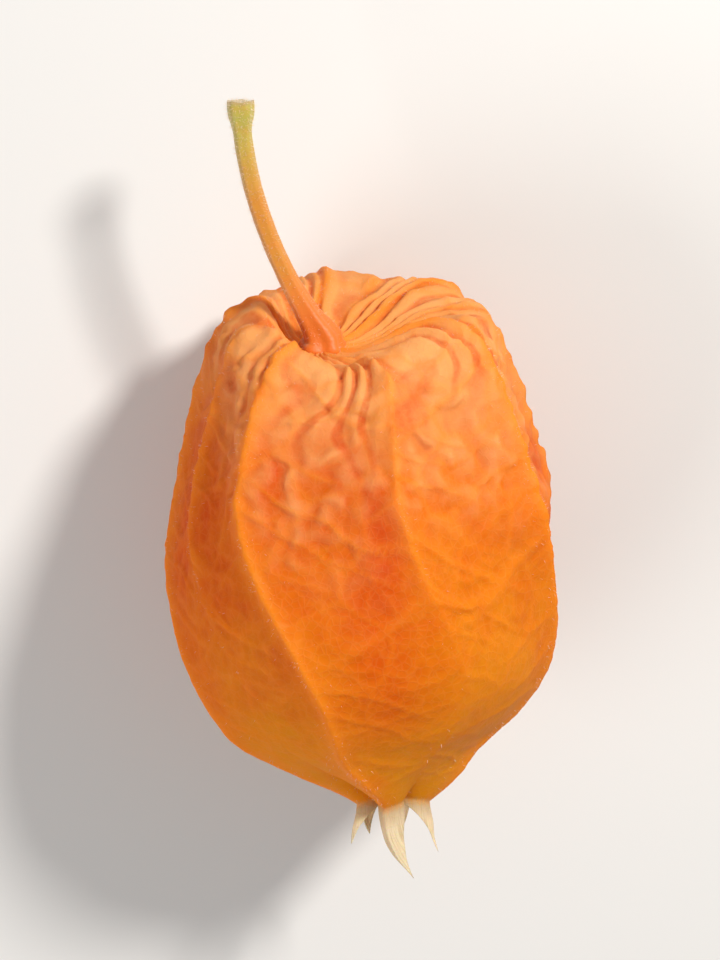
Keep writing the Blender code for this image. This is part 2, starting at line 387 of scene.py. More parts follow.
class Shaping(Nodes):
    """A geometry node group with named inputs, which ends in real faces with a material."""

    def __init__(self, name):
        super().__init__(bpy.data.node_groups.new(name, "GeometryNodeTree"))
        for way in ("INPUT", "OUTPUT"):
            self.tree.interface.new_socket("Geometry", in_out=way, socket_type="NodeSocketGeometry")
        self.values = {}

    def input(self, name, kind, value):
        """Declares a named input, and the value that the modifier gives it."""
        socket = self.tree.interface.new_socket(name, in_out="INPUT", socket_type=f"NodeSocket{kind}")
        self.values[socket.identifier] = value
        return name

    def read(self, name):
        return self.node("NodeGroupInput", out=name)

    def named(self, name):
        """A value that is stored on the geometry's points."""
        return self.node("GeometryNodeInputNamedAttribute", None, {"Name": name})

    def stored(self, geometry, name, value):
        """The geometry with a value stored on its points."""
        sockets = {"Geometry": geometry, "Name": name, "Value": value}
        return self.node("GeometryNodeStoreNamedAttribute", None, sockets)

    def end(self, geometry, material):
        """Makes the result real faces with a material, and gives it out."""
        real = self.node("GeometryNodeRealizeInstances", None, {"Geometry": geometry})
        coloured = self.node("GeometryNodeSetMaterial", None, {"Geometry": real, "Material": material})
        self.node("NodeGroupOutput", None, {"Geometry": coloured})

    def applied(self, thing, name):
        """The plain mesh object that the group makes of a thing, which is removed."""
        modifier = thing.modifiers.new("shaping", "NODES")
        modifier.node_group = self.tree
        for identifier, value in self.values.items():
            modifier[identifier] = value
        bpy.context.view_layer.update()
        shaped = thing.evaluated_get(bpy.context.evaluated_depsgraph_get())
        mesh = bpy.data.meshes.new_from_object(shaped)
        thing.modifiers.remove(modifier)
        bpy.data.objects.remove(thing)
        mesh.name = name
        return linked(name, mesh)


def linked(name, data):
    """A new object of the scene with this data."""
    made = bpy.data.objects.new(name, data)
    bpy.context.scene.collection.objects.link(made)
    return made


def meshed(name, places, faces, marks):
    """A smooth mesh object, with the values of each mark stored on its points."""
    mesh = bpy.data.meshes.new(name)
    mesh.from_pydata(places.tolist(), [], faces)
    for mark, values in marks.items():
        mesh.attributes.new(mark, "FLOAT", "POINT").data.foreach_set("value", values.astype(np.float32))
    mesh.shade_smooth()
    return linked(name, mesh)


def fitted(piece, node, *replaced):
    """Attaches a finished piece to the body and hides the CAD parts that it stands for."""
    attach(piece, BODY)
    if replaced:
        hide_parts(*replaced)


def smoothstep(low, high, value):
    """0 up to low, 1 from high on, and a smooth rise between."""
    share = np.clip((value - low) / (high - low), 0, 1)
    return share * share * (3 - 2 * share)


def mix(first, second, share):
    """The value this share of the way from the first to the second."""
    return first + (second - first) * share


def cloud(places, size, seed):
    """Smooth noise from -1 to 1 at each place, its blotches this many metres across."""
    shift = Vector((seed * 7.3, seed * 3.1, seed * 5.7))
    flat = places.reshape(-1, 3) / size
    values = [noise.noise(Vector(place) + shift) for place in flat]
    return np.array(values).reshape(places.shape[:-1])


def crest_curve():
    """The crest as close points (radius, depth), with the length along it up to each point."""
    knots = np.array(CREST) * (HUSK_RADIUS, HUSK_LENGTH)
    knots = np.vstack((knots[0] * 2 - knots[1], knots, knots[-1] * 2 - knots[-2]))
    points = []
    for a, b, c, d in zip(knots, knots[1:], knots[2:], knots[3:]):
        for t in np.arange(CREST_STEPS) / CREST_STEPS:
            squared = (2 * a - 5 * b + 4 * c - d) * t**2
            cubed = (3 * b - a - 3 * c + d) * t**3
            points.append(0.5 * (2 * b + (c - a) * t + squared + cubed))
    points = np.array([*points, knots[-2]])
    steps = np.linalg.norm(np.diff(points, axis=0), axis=1)
    return points, np.concatenate(([0], np.cumsum(steps)))


CREST_POINTS, CREST_ALONG = crest_curve()
CREST_SLOPES = np.gradient(CREST_POINTS, CREST_ALONG, axis=0)
CREST_END = CREST_ALONG[-1]


def on_crest(along):
    """Radius and depth at lengths along the crest, and the outward normal there."""
    radius, depth = (np.interp(along, CREST_ALONG, CREST_POINTS[:, i]) for i in (0, 1))
    slopes = [np.interp(along, CREST_ALONG, CREST_SLOPES[:, i]) for i in (0, 1)]
    size = np.hypot(*slopes)
    return radius, depth, slopes[1] / size, -slopes[0] / size


def column_table(step):
    """A row for each column of the husk: angle, half width, share from the main rib, lobe, panel."""
    table = []
    for rib, (start, end) in enumerate(zip(MAIN_RIBS, (*MAIN_RIBS[1:], MAIN_RIBS[0] + 360))):
        half = (end - start) / 2
        steps = 2 * round(half / step / 2)
        for side in (0, 1):
            lobe = (rib + side) % len(LOBES)
            for share in np.arange(steps) / steps:
                from_main = 1 - share if side else share
                table.append((start + half * (side + share), half, from_main, lobe, 2 * rib + side))
    return np.array(table)


class Columns:
    """The columns of the husk's mesh, as arrays with one value for each."""

    def __init__(self, table):
        angle, half, self.from_main, lobe, panel = table.T
        self.angle = np.radians(angle)
        self.half = np.radians(half)
        self.panel = panel.astype(int)
        self.lobe_length, self.lobe_lean, self.lobe_swing = np.array(LOBES)[lobe.astype(int)].T
        middles = np.array([self.angle[self.panel == number].mean() for number in range(len(PANEL_TONES))])
        self.tone = np.interp(self.angle, middles, PANEL_TONES, period=math.tau)


def panel_sink(along, radius, columns):
    """How far the surface lies inside the crest, between a main rib and a middle rib."""
    down = along / CREST_END
    share = mix(SINK_TOP, SINK_TIP, smoothstep(0.35, 0.75, down))
    share *= mix(0.5, 1, smoothstep(0.08, 0.32, down))
    flat = radius * (1 - np.cos(columns.half / 2))
    drop = MIDDLE_RIB_DROP * smoothstep(0, 0.15, down) * columns.from_main**2
    return share * flat * np.sin(np.pi * columns.from_main) + drop


def towards(columns, angle):
    """1 on the side at this angle, falling to 0 a quarter turn away."""
    return np.maximum(0, np.cos(columns.angle - angle))


def husk_points(along, columns, outward):
    """Points of the husk in the lantern frame, this far outside the sunk panels."""
    radius, depth, normal_out, normal_down = on_crest(np.minimum(along, CREST_END))
    past_mouth = np.maximum(0, along - CREST_END)
    height = outward - panel_sink(along, radius, columns)
    in_lobe = (past_mouth / columns.lobe_length) ** 2
    radius = radius + normal_out * height + columns.lobe_lean * in_lobe
    depth = depth + normal_down * height + past_mouth
    share = depth / HUSK_LENGTH
    angle = columns.angle + TWIST * smoothstep(*TWISTS, share) + columns.lobe_swing * in_lobe
    radius = radius - MOUTH_PINCH * columns.from_main**2 * smoothstep(*MOUTH_SHIFTS, share)

    places = np.stack((radius * np.sin(angle), -depth, radius * np.cos(angle)), axis=-1)
    in_seat = (1 - smoothstep(*SEAT_SHIFTS, radius / HUSK_RADIUS)) * (share < 0.25)
    places += SEAT_SHIFT * in_seat[..., None]
    places[..., 0] += MOUTH_SHIFT * smoothstep(*MOUTH_SHIFTS, share)
    slope = SHOULDER_SLOPE * (1 - smoothstep(*SLOPE_ENDS, share))
    places[..., 1] -= slope * (places[..., 2] - SLOPE_FROM)
    at_front = smoothstep(*FRONT_DROPS[:2], along) * (1 - smoothstep(*FRONT_DROPS[2:], along))
    places[..., 1] -= FRONT_DROP * towards(columns, FRONT_ANGLE) ** 3 * at_front
    return places


def lying(places, floor):
    """Places of the lantern frame in the world, pressed flat where they would reach the floor."""
    matrix = np.array(LANTERN)
    world = places @ matrix[:3, :3].T + matrix[:3, 3]
    world[..., 2] = np.maximum(world[..., 2], floor)
    return world


def ridge(distance, width):
    """1 on a line, fading on both sides of it."""
    return np.exp(-((distance / width) ** 2))


def double_ridge(distance, widths):
    """Two ridges of different widths on one line."""
    return 0.6 * ridge(distance, widths[0]) + 0.4 * ridge(distance, widths[1])


class Net:
    """A net of uneven meshes over the husk, each round its own centre."""

    def __init__(self, spacing, seed):
        draw = np.random.default_rng(seed)
        columns = Columns(column_table(3))
        along = np.linspace(0, CREST_END + 5 * MM, 160)[:, None] + 0 * columns.angle
        places = husk_points(along, columns, 0).reshape(-1, 3)
        centres = places[:1]
        for place in draw.permutation(places)[:NET_TRIES]:
            if np.min(np.sum((centres - place) ** 2, axis=1)) > spacing**2:
                centres = np.vstack((centres, place))
        self.centres = centres
        self.tints = draw.random(len(centres))

    def around(self, places):
        """How far the two nearest centres are from each place, and the nearest one's own tint."""
        flat = places.reshape(-1, 3)
        parts = []
        for block in np.array_split(flat, len(flat) // 2000):
            distances = np.linalg.norm(block[:, None] - self.centres[None], axis=2)
            order = np.argpartition(distances, 1, axis=1)[:, :2]
            pair = np.take_along_axis(distances, order, axis=1)
            nearest = order[np.arange(len(block)), pair.argmin(axis=1)]
            parts.append((*np.sort(pair, axis=1).T, self.tints[nearest]))
        shape = places.shape[:-1]
        return [np.concatenate(part).reshape(shape) for part in zip(*parts)]


def side_veins(along, columns, arc, sway, of_middle):
    """How much of a vein is at each place, for the veins that leave one kind of rib slantwise."""
    draw = np.random.default_rng(17 + of_middle)
    starts, turns = draw.random((2, len(PANEL_TONES)))[:, columns.panel]
    out = 1 - columns.from_main if of_middle else columns.from_main
    lines = (along - VEIN_SLANT * arc * out**0.85 + sway) / VEIN_SPACING + starts
    lines += 0.28 * np.sin(lines * 1.7 + turns * 6)
    number = np.round(lines)
    # A share from 0 to 1 for each vein, which sets how strong it is and how far it reaches
    own = np.modf(np.abs(np.sin(number * 12.99 + columns.panel * 78.2 + of_middle)) * 437.5)[0]
    reach = mix(0.55, 1.15, own)
    width = mix(*VEIN_WIDTHS, out)
    fading = 1 - smoothstep(reach - 0.35, reach, out)
    return ridge((lines - number) * VEIN_SPACING, width) * mix(0.55, 1, own) * fading


def puffed_part(plain, down, columns):
    """1 where the paper is puffed, which is the upper half, and 0 below an uneven border."""
    smooth = towards(columns, SMOOTH_ANGLE) ** 5
    beside_rib = towards(columns, PUFFS_ANGLE) ** 8
    shift = 0.24 * smooth - 0.1 * beside_rib + 0.04 * cloud(plain, 7 * MM, 13)
    return 1 - smoothstep(0.36, 0.6, down + shift)


def painted_shade_beside_middle_ribs(to_middle, down, columns):
    """Painted shade: a redder, darker band on every other panel, beside its middle rib and wider lower
    down.
    """
    low = smoothstep(0.48, 0.66, down)
    strength = smoothstep(0.26, 0.42, down) * mix(1, 0.62, low) * (1 - smoothstep(0.74, 0.9, down))
    off = to_middle - mix(2.4, 7.6, low) * MM
    return ridge(off, mix(2.6, 4.6, low) * MM) * strength * (columns.panel % 2 == 0)


def fold_waves(plain, along, columns):
    """The folds round the stalk, as far as their valleys get painted shade and as far as they are raised.
    """
    angle = columns.angle
    turns = angle * 13 + 1.1 * np.sin(3 * angle + 0.7) + 0.8 * np.sin(7 * angle)
    strength = mix(0.6, 1.2, (np.sin(5 * angle + 2) + 1) / 2)
    strength = strength * mix(0.3, 1.6, (cloud(plain, 3 * MM, 6) + 1) / 2)
    waves = np.sin(2 * turns + cloud(plain, 6 * MM, 5) * 7) * strength * smoothstep(0, 2 * MM, along)
    uneven = along * (1 - 0.35 * towards(columns, FRONT_ANGLE)) + cloud(plain, 4 * MM, 10) * 4 * MM
    # How far the painted shade in the fold valleys reaches
    coloured = waves * (1 - smoothstep(0.45 * FOLDS_END, 1.2 * FOLDS_END, uneven))
    raised = waves * (1 - smoothstep(0.15 * FOLDS_END, FOLDS_END, uneven))
    return coloured, raised


def creases(along, radius, columns):
    """The height of the short bent creases."""
    height = 0
    for degrees, share, half_length, rise in CREASES:
        turn = columns.angle - math.radians(degrees)
        across = radius * np.sin(turn) / half_length
        off = along - share * CREST_END + CREASE_BEND * across**2
        height = height + rise * ridge(off, CREASE_WIDTH) * ridge(across, 1) * (np.cos(turn) > 0)
    return height


def swellings(depth, columns):
    """The height of the broad swellings and the dent."""
    height = 0
    for degrees, share, spread, rise in SWELLINGS:
        side = towards(columns, math.radians(degrees)) ** 2
        height = height + rise * side * ridge(depth / HUSK_LENGTH - share, spread)
    return height


def husk_relief(along, columns, nets, choices):
    """The height of all that stands out of the husk's panels, and the marks that colour it."""
    plain = husk_points(along, columns, np.zeros_like(along))
    radius, depth = on_crest(np.minimum(along, CREST_END))[:2]
    down = along / CREST_END
    arc = radius * columns.half
    to_main = arc * columns.from_main
    to_middle = arc * (1 - columns.from_main)
    ends = smoothstep(0, 5 * MM, along) * smoothstep(0, 8 * MM, CREST_END - along)
    middle_fade = 1 - 0.8 * smoothstep(0.42, 0.75, down)
    upper = puffed_part(plain, down, columns)

    ribs = choices.main_rib * double_ridge(to_main, MAIN_RIB_WIDTHS)
    ribs += choices.middle_rib * double_ridge(to_middle, MIDDLE_RIB_WIDTHS) * middle_fade
    ribs *= smoothstep(2 * MM, 18 * MM, along) * mix(0.35, 1, smoothstep(0, 6 * MM, CREST_END - along))
    middle_colour = 0.4 * ridge(to_middle, 0.5 * MM) + 0.3 * ridge(to_middle, 1.6 * MM)

    sway = cloud(plain, 5 * MM, 1) * 1.3 * MM + cloud(plain, 1.8 * MM, 2) * 0.3 * MM
    from_main, from_middle = (side_veins(along, columns, arc, sway, kind) for kind in (False, True))
    side = np.maximum(from_main, 0.8 * from_middle) * (1 - 0.7 * ridge(to_main, 1.6 * MM))
    shifts = np.stack([cloud(plain, 2.2 * MM, seed) for seed in (7, 8, 9)], axis=-1) * 0.7 * MM
    coarse, fine = (net.around(plain + shifts) for net in nets)
    coarse_lines = ridge(coarse[1] - coarse[0], 0.75 * MM)
    fine_lines = ridge(fine[1] - fine[0], 0.5 * MM) * mix(0.7, 0.1, upper)
    lines = np.maximum(coarse_lines, fine_lines)

    dome = smoothstep(0, 0.7 * choices.net_spacing, fine[1] - fine[0]) * mix(0.1, 1, fine[2])
    swell = smoothstep(-0.3, 0.6, cloud(plain + shifts, 1.7 * MM, 14))
    below_folds = mix(0.25, 1, smoothstep(5 * MM, 15 * MM, along))
    puff = (0.5 * dome + 0.6 * swell) * mix(0.12, 1, upper) * below_folds * ends
    broad = np.clip(1 - (coarse[0] / (1.5 * choices.net_spacing)) ** 2, 0, 1) * mix(0.4, 1, upper)

    dents = cloud(plain, 12 * MM, 3) * 0.35 * MM
    paper = choices.vein * side + choices.net * lines + dents + choices.pucker * (puff + 0.6 * broad - 0.5)
    paper *= 1 - 0.55 * smoothstep(0.55, 0.85, down)
    paper += creases(along, radius, columns) + swellings(depth, columns)
    shaded_folds, raised_folds = fold_waves(plain, along, columns)
    marks = {
        "rib": double_ridge(to_main, RIB_COLOUR_WIDTHS) + middle_colour * middle_fade,
        "vein": np.clip(np.maximum(side, 0.75 * lines), 0, 1) * ends,
        "puff": puff,
        # carries the painted shade of the fold valleys
        "fold": shaded_folds,
        "cell": fine[2],
        "upper": upper,
        # painted shade beside the middle ribs
        "blush": painted_shade_beside_middle_ribs(to_middle, down, columns),
    }
    return ribs + paper * ends + choices.fold * raised_folds, marks


def husk_rows(columns, body_rows, lobe_rows):
    """How far over the surface each point of the grid is from the stalk's hole."""
    from_rib = np.linspace(0, CREST_END, body_rows + 1)[:, None]
    ends = smoothstep(0, 12 * MM, from_rib) * smoothstep(0, 12 * MM, CREST_END - from_rib)
    body = from_rib + VEIN_BEND * ends * np.sin(np.pi * columns.from_main)
    reach = NOTCH + (columns.lobe_length - NOTCH) * (1 - columns.from_main) ** LOBE_SHARPNESS
    steps = (np.arange(lobe_rows) + 1)[:, None] / lobe_rows
    return np.vstack((body, CREST_END + reach * steps))


def grid_faces(rows, count, first, flipped):
    """The quads of a grid of rows that close into rings, its vertices counted from first."""
    row, column = np.meshgrid(np.arange(rows - 1), np.arange(count), indexing="ij")
    following = (column + 1) % count
    near, far = first + row * count, first + (row + 1) * count
    corners = [near + column, near + following, far + following, far + column]
    if flipped:
        corners.reverse()
    return np.stack([corner.ravel() for corner in corners], axis=1).tolist()


def rim_faces(count, outer, inner, flipped):
    """Faces between a ring of the outer skin and one of the inner skin, which has half its points."""
    faces = []
    for point in range(0, count, 2):
        near = [outer + (point + step) % count for step in (0, 1, 2)]
        far = [inner + (point // 2 + step) % (count // 2) for step in (0, 1)]
        faces += [(near[1], near[0], far[0], far[1]), (near[2], near[1], far[1])]
    return [face[::-1] for face in faces] if flipped else faces


def make_husk(choices):
    """A thin paper shell: the outer skin with all its relief, and an inner skin just inside it."""
    nets = [Net(choices.net_spacing * size, seed) for size, seed in NETS]
    table = column_table(COLUMN_STEP)
    skins = []
    marks = []
    for columns, body_rows, lobe_rows, inset in (
        (Columns(table), BODY_ROWS, LOBE_ROWS, 0),
        (Columns(table[::2]), BODY_ROWS // 3, LOBE_ROWS // 2, choices.wall),
    ):
        along = husk_rows(columns, body_rows, lobe_rows)
        height, own = husk_relief(along, columns, nets, choices)
        in_lobe = smoothstep(0, 2 * MM, along - CREST_END)
        keel = LOBE_KEEL * in_lobe * (1 - np.sqrt(columns.from_main * 2).clip(0, 1))
        places = husk_points(along, columns, height + keel - inset * (1 - 0.6 * in_lobe))
        curl = smoothstep(CREST_END + 0.5 * MM, CREST_END + 4 * MM, along)
        sway = np.stack([cloud(places, 3 * MM, seed) for seed in (21, 22, 23)], axis=-1)
        places += sway * (0.5 * MM * curl)[..., None]
        skins.append(lying(places, inset))
        own |= {
            "depth": along / CREST_END,
            "lobe": (along - CREST_END + MM) / (LOBES[0][0] + MM),
            "tone": columns.tone + 0 * along,
            "across": columns.from_main + 0 * along,
            "inside": 0 * along + (inset > 0),
            "hairy": own["rib"] * (inset == 0) * (skins[-1][..., 2] > HAIR_LEVEL),
        }
        marks.append(own)

    outer, inner = (skin.shape[:2] for skin in skins)
    first_inner = outer[0] * outer[1]
    faces = grid_faces(*outer, 0, True) + grid_faces(*inner, first_inner, False)
    faces += rim_faces(outer[1], 0, first_inner, True)
    last_inner = first_inner + (inner[0] - 1) * inner[1]
    faces += rim_faces(outer[1], first_inner - outer[1], last_inner, False)
    places = np.vstack([skin.reshape(-1, 3) for skin in skins])
    joined = {name: np.concatenate([skin[name].ravel() for skin in marks]) for name in marks[0]}
    return meshed("lantern_husk", places, faces, joined)


def husk_finish(choices):
    """Dry, veined, slightly see-through paper with a bloom of fine hairs. Its colour holds painted
    highlights on the shoulder, on the tops of the puffs and partly on the ribs, and painted shade beside
    the middle ribs and in the fold valleys.
    """
    finish = Finish("lantern paper")
    depth, across, inside, lobe = map(finish.attribute, ("depth", "across", "inside", "lobe"))
    tone, cell, blush, upper = map(finish.attribute, ("tone", "cell", "blush", "upper"))
    vein, rib, puff, fold = map(finish.attribute, ("vein", "rib", "puff", "fold"))
    blotch = finish.ramp(finish.noise(6 * MM, 4, 0.6), (0.36, 0), (0.64, 1))
    mottle = finish.ramp(finish.noise(1.6 * MM, 3, 0.6), (0.4, 0), (0.62, 1))
    # The tops of the puffs, where a painted highlight goes
    raised = finish.ramp(puff, (0.05, 0), (0.9, 1))
    # Painted shade: the valleys of the folds round the stalk are darkened red, broken up by the mottling
    painted_fold_shade = finish.ramp(fold + 0.7, (0.0, 0.6), (0.65, 0)) * (0.5 + 0.5 * mottle)
    sockets = {"Vector": finish.place(), "Scale": 1 / (0.75 * MM)}
    fine = finish.node("ShaderNodeTexVoronoi", {"feature": "DISTANCE_TO_EDGE"}, sockets, out="Distance")
    fine_net = 1 - finish.ramp(fine, (0.0, 0), (0.12, 1))

    shade = finish.mix(finish.ramp(depth, (0.5, 0), (0.93, 1)) * 0.85, choices.yellow, choices.tip)
    yellowness = tone * 0.75 + blotch * 0.45 + finish.ramp(depth, (0.5, 0), (0.85, 0.5))
    shade = finish.layered(
        finish.mix(yellowness, choices.red, shade),
        # Painted shade beside the middle ribs, broken up by blotches
        (blush * (0.6 + 0.4 * blotch), choices.red),
        # Painted highlight on the tops of the puffs, with the paper's own paler mottling and cells
        (upper * (raised * 0.5 + mottle * 0.12 + cell * 0.12), choices.pale),
        # Painted highlight: the shoulder, which faces the light, is painted paler
        (finish.ramp(depth, (0.15, 0.92), (0.4, 0)) * (upper * 0.6 + 0.4), choices.pale),
        (vein * 0.45, choices.rib),
        # Ribs: partly their own paler tone, partly a painted highlight
        (rib * 0.85, choices.rib),
        # Painted shade in the valleys of the folds round the stalk
        (painted_fold_shade * upper, choices.red),
        (fine_net * 0.08, choices.pale),
        (inside * 0.7, choices.inner),
    )

    lobe_map = finish.node("ShaderNodeCombineXYZ", None, {"X": across * 26, "Y": lobe * 3})
    sockets = {"Vector": lobe_map, "Scale": 1.0, "Detail": 3.0}
    streak = finish.node("ShaderNodeTexNoise", None, sockets, out="Fac")
    dry = finish.layered(
        choices.dry,
        (finish.ramp(streak, (0.45, 0), (0.75, 0.6)), choices.withered),
        (finish.ramp(lobe + streak * 0.2, (0.15, 0.8), (0.5, 0)), choices.withered),
    )
    shade = finish.mix(finish.ramp(lobe + streak * 0.16, (0.14, 0), (0.3, 1)), shade, dry)

    grain = finish.noise(0.22 * MM, 3, 0.6)
    height = finish.bump(grain * 0.6 + fine_net * 0.6, 0.03 * MM)
    constants = {
        "IOR": 1.45,
        "Specular IOR Level": 0.16,
        "Subsurface Weight": 0.2,
        "Subsurface Radius": (1.0, 0.32, 0.08),
        "Subsurface Scale": 0.4 * MM,
        "Sheen Weight": 0.06,
        "Sheen Roughness": 0.15,
        "Sheen Tint": (1.0, 0.78, 0.62, 1),
    }
    shader = finish.surface(constants, shade, 0.5 + 0.16 * mottle - 0.1 * rib, height)
    glow = finish.mix(0.3, shade, choices.inner)
    through = finish.node("ShaderNodeBsdfTranslucent", None, {"Color": glow, "Normal": height})
    return finish.finished(finish.node("ShaderNodeMixShader", None, {0: 0.45, 1: shader, 2: through}))


def hair_shaping(material, where, count, hair_length, seed):
    """Short hairs that stand on a surface, more of them where the named attribute is high."""
    hairs = Shaping("hairs")
    per_area = hairs.input("Hairs per area", "Float", count)
    tall = hairs.input("Hair length", "Float", hair_length)
    thick = hairs.input("Hair radius", "Float", HAIR_RADIUS)
    draws = hairs.input("Seed", "Int", seed)
    density = hairs.named(where) * hairs.read(per_area)
    sockets = {"Mesh": hairs.read("Geometry"), "Density": density, "Seed": hairs.read(draws)}
    points = hairs.node("GeometryNodeDistributePointsOnFaces", None, sockets)
    turn = Socket(hairs, points.socket.node.outputs["Rotation"])
    sockets = {"Radius Bottom": hairs.read(thick), "Radius Top": 0.0, "Depth": hairs.read(tall)}
    sockets |= {"Vertices": 3, "Side Segments": 1}
    spike = hairs.node("GeometryNodeMeshCone", None, sockets)
    sockets = {2: HAIR_SIZES[0], 3: HAIR_SIZES[1], "Seed": hairs.read(draws)}
    size = hairs.node("FunctionNodeRandomValue", None, sockets, out=1)
    sockets = {"Points": points, "Instance": spike, "Rotation": turn, "Scale": size}
    placed = hairs.node("GeometryNodeInstanceOnPoints", None, sockets)
    sockets = {0: (-HAIR_LEAN, -HAIR_LEAN, 0), 1: (HAIR_LEAN, HAIR_LEAN, 0)}
    lean = hairs.node("FunctionNodeRandomValue", {"data_type": "FLOAT_VECTOR"}, sockets)
    leaning = hairs.node("GeometryNodeRotateInstances", None, {"Instances": placed, "Rotation": lean})
    hairs.end(leaning, material)
    return hairs


def hairs_on(source, where, name, count, hair_length, material, seed):
    """A separate piece of hairs that grow out of another piece."""
    mesh = bpy.data.objects[source].data
    values = np.empty(len(mesh.vertices), dtype=np.float32)
    mesh.attributes[where].data.foreach_get("value", values)
    hairy_area = sum(face.area * float(values[face.vertices[0]]) for face in mesh.polygons)
    shaping = hair_shaping(material, where, count / hairy_area, hair_length, seed)
    return shaping.applied(linked(name, mesh.copy()), name)


def hair_finish(tint):
    """Pale satin hairs."""
    finish = Finish("fine hairs")
    shade = finish.mix(finish.noise(2 * MM), tint, (0.95, 0.86, 0.72))
    constants = {"Subsurface Weight": 0.3, "Subsurface Scale": 0.2 * MM, "IOR": 1.5}
    return finish.plain(constants, shade, finish.noise(MM) * 0.2 + 0.35)


def at_seat(inward):
    """The place this far into the husk, square to the seat, from the middle of its hole."""
    middle = Vector(SEAT_SHIFT)
    middle.y -= SEAT_DEPTH + SHOULDER_SLOPE * (middle.z - SLOPE_FROM)
    return middle - SEAT_AXIS * inward


def stalk_route():
    """Points and radii from the disc inside the husk, out through its hole, to the picked end."""
    disc_top = CAD_WALL + GAP
    route = [
        (disc_top + DISC_THICKNESS, DISC_RADIUS * 0.8),
        (disc_top + DISC_THICKNESS * 0.6, DISC_RADIUS),
        (disc_top + DISC_THICKNESS * 0.2, DISC_RADIUS * 0.9),
        (disc_top, NECK_RADIUS),
        (GAP * 0.9, NECK_RADIUS),
        (GAP * 0.8, COLLAR_RADIUS),
        (GAP * 0.2, COLLAR_RADIUS * 1.03),
        (-GAP * 0.6, COLLAR_RADIUS),
        (-GAP * 1.6, COLLAR_RADIUS * 0.92),
    ]
    points = [(at_seat(inward), radius) for inward, radius in route]
    start = at_seat(-COLLAR_HEIGHT)
    for t in np.linspace(0, 1, STALK_POINTS + 1):
        bend = (1 - (1 - t) ** 1.9, t, 1 - (1 - t) ** 1.3)
        collar = (COLLAR_RADIUS - STALK_RADIUS) * math.exp(-0.3 - t * 10)
        end = (STALK_END_RADIUS - STALK_RADIUS) * float(smoothstep(0.86, 0.97, t))
        place = start + Vector([share * reach for share, reach in zip(bend, STALK_REACH)])
        points.append((place, STALK_RADIUS + collar + end))
    return points


def make_stalk(choices, material):
    """The stalk as a grooved profile swept along its route."""
    curve = bpy.data.curves.new("stalk route", "CURVE")
    curve.dimensions = "3D"
    route = stalk_route()
    spline = curve.splines.new("POLY")
    spline.points.add(len(route) - 1)
    for point, (place, radius) in zip(spline.points, route):
        point.co = (*(LANTERN @ place), 1)
        point.radius = radius

    sweep = Shaping("stalk")
    groove = sweep.input("Groove depth", "Float", choices.groove)
    grooves = sweep.input("Grooves", "Float", STALK_GROOVES)
    sides = sweep.input("Sides", "Int", STALK_SIDES)
    share = sweep.node("GeometryNodeSplineParameter", out="Factor")
    wide = sweep.node("GeometryNodeInputRadius")
    path = sweep.stored(sweep.read("Geometry"), "along", share)
    path = sweep.stored(path, "girth", wide)
    sockets = {"Resolution": sweep.read(sides), "Radius": 1.0}
    circle = sweep.node("GeometryNodeCurvePrimitiveCircle", None, sockets)
    profile = sweep.stored(circle, "around", sweep.node("GeometryNodeSplineParameter", out="Factor"))
    sockets = {"Curve": path, "Profile Curve": profile, "Scale": wide, "Fill Caps": True}
    tube = sweep.node("GeometryNodeCurveToMesh", None, sockets)
    turn = sweep.named("around") * sweep.read(grooves) * math.tau
    wave = sweep.node("ShaderNodeMath", {"operation": "SINE"}, {0: turn})
    rough = sweep.node("ShaderNodeTexNoise", None, {"Scale": 1 / (1.4 * MM)})
    swelling = (sweep.named("girth") * (1 / STALK_RADIUS)) ** 1.6
    rise = (wave * 0.7 + (rough - 0.5) * 1.6) * swelling * sweep.read(groove)
    sockets = {0: sweep.node("GeometryNodeInputNormal"), "Scale": rise}
    offset = sweep.node("ShaderNodeVectorMath", {"operation": "SCALE"}, sockets)
    moved = sweep.node("GeometryNodeSetPosition", None, {"Geometry": tube, "Offset": offset})
    smooth = sweep.node("GeometryNodeSetShadeSmooth", None, {"Geometry": moved})
    sweep.end(smooth, material)
    return sweep.applied(linked("stalk route", curve), "stalk_skin")


def stalk_finish(choices):
    """Green-orange stalk, deeper by the husk, with a pale broken end."""
    finish = Finish("stalk skin")
    along = finish.attribute("along")
    streaks = finish.noise(1.2 * MM, 4, 0.6)
    shade = finish.layered(
        choices.base,
        (finish.ramp(along, (0.2, 0), (0.42, 1)), choices.middle),
        (finish.ramp(along + streaks * 0.16, (0.72, 0), (1.0, 1)), choices.end),
        (finish.ramp(streaks, (0.45, 0), (0.7, 1)) * 0.25, choices.base),
        (finish.ramp(along, (0.985, 0), (0.998, 1)), BROKEN_TINT),
    )
    height = finish.bump(finish.noise(0.3 * MM, 3), 0.05 * MM)
    constants = {
        "IOR": 1.45,
        "Subsurface Weight": 0.2,
        "Subsurface Radius": (1.0, 0.5, 0.1),
        "Subsurface Scale": 0.5 * MM,
        "Sheen Weight": 0.25,
        "Sheen Tint": (1.0, 0.9, 0.7, 1),
    }
    return finish.plain(constants, shade, 0.4 + 0.2 * streaks, height)


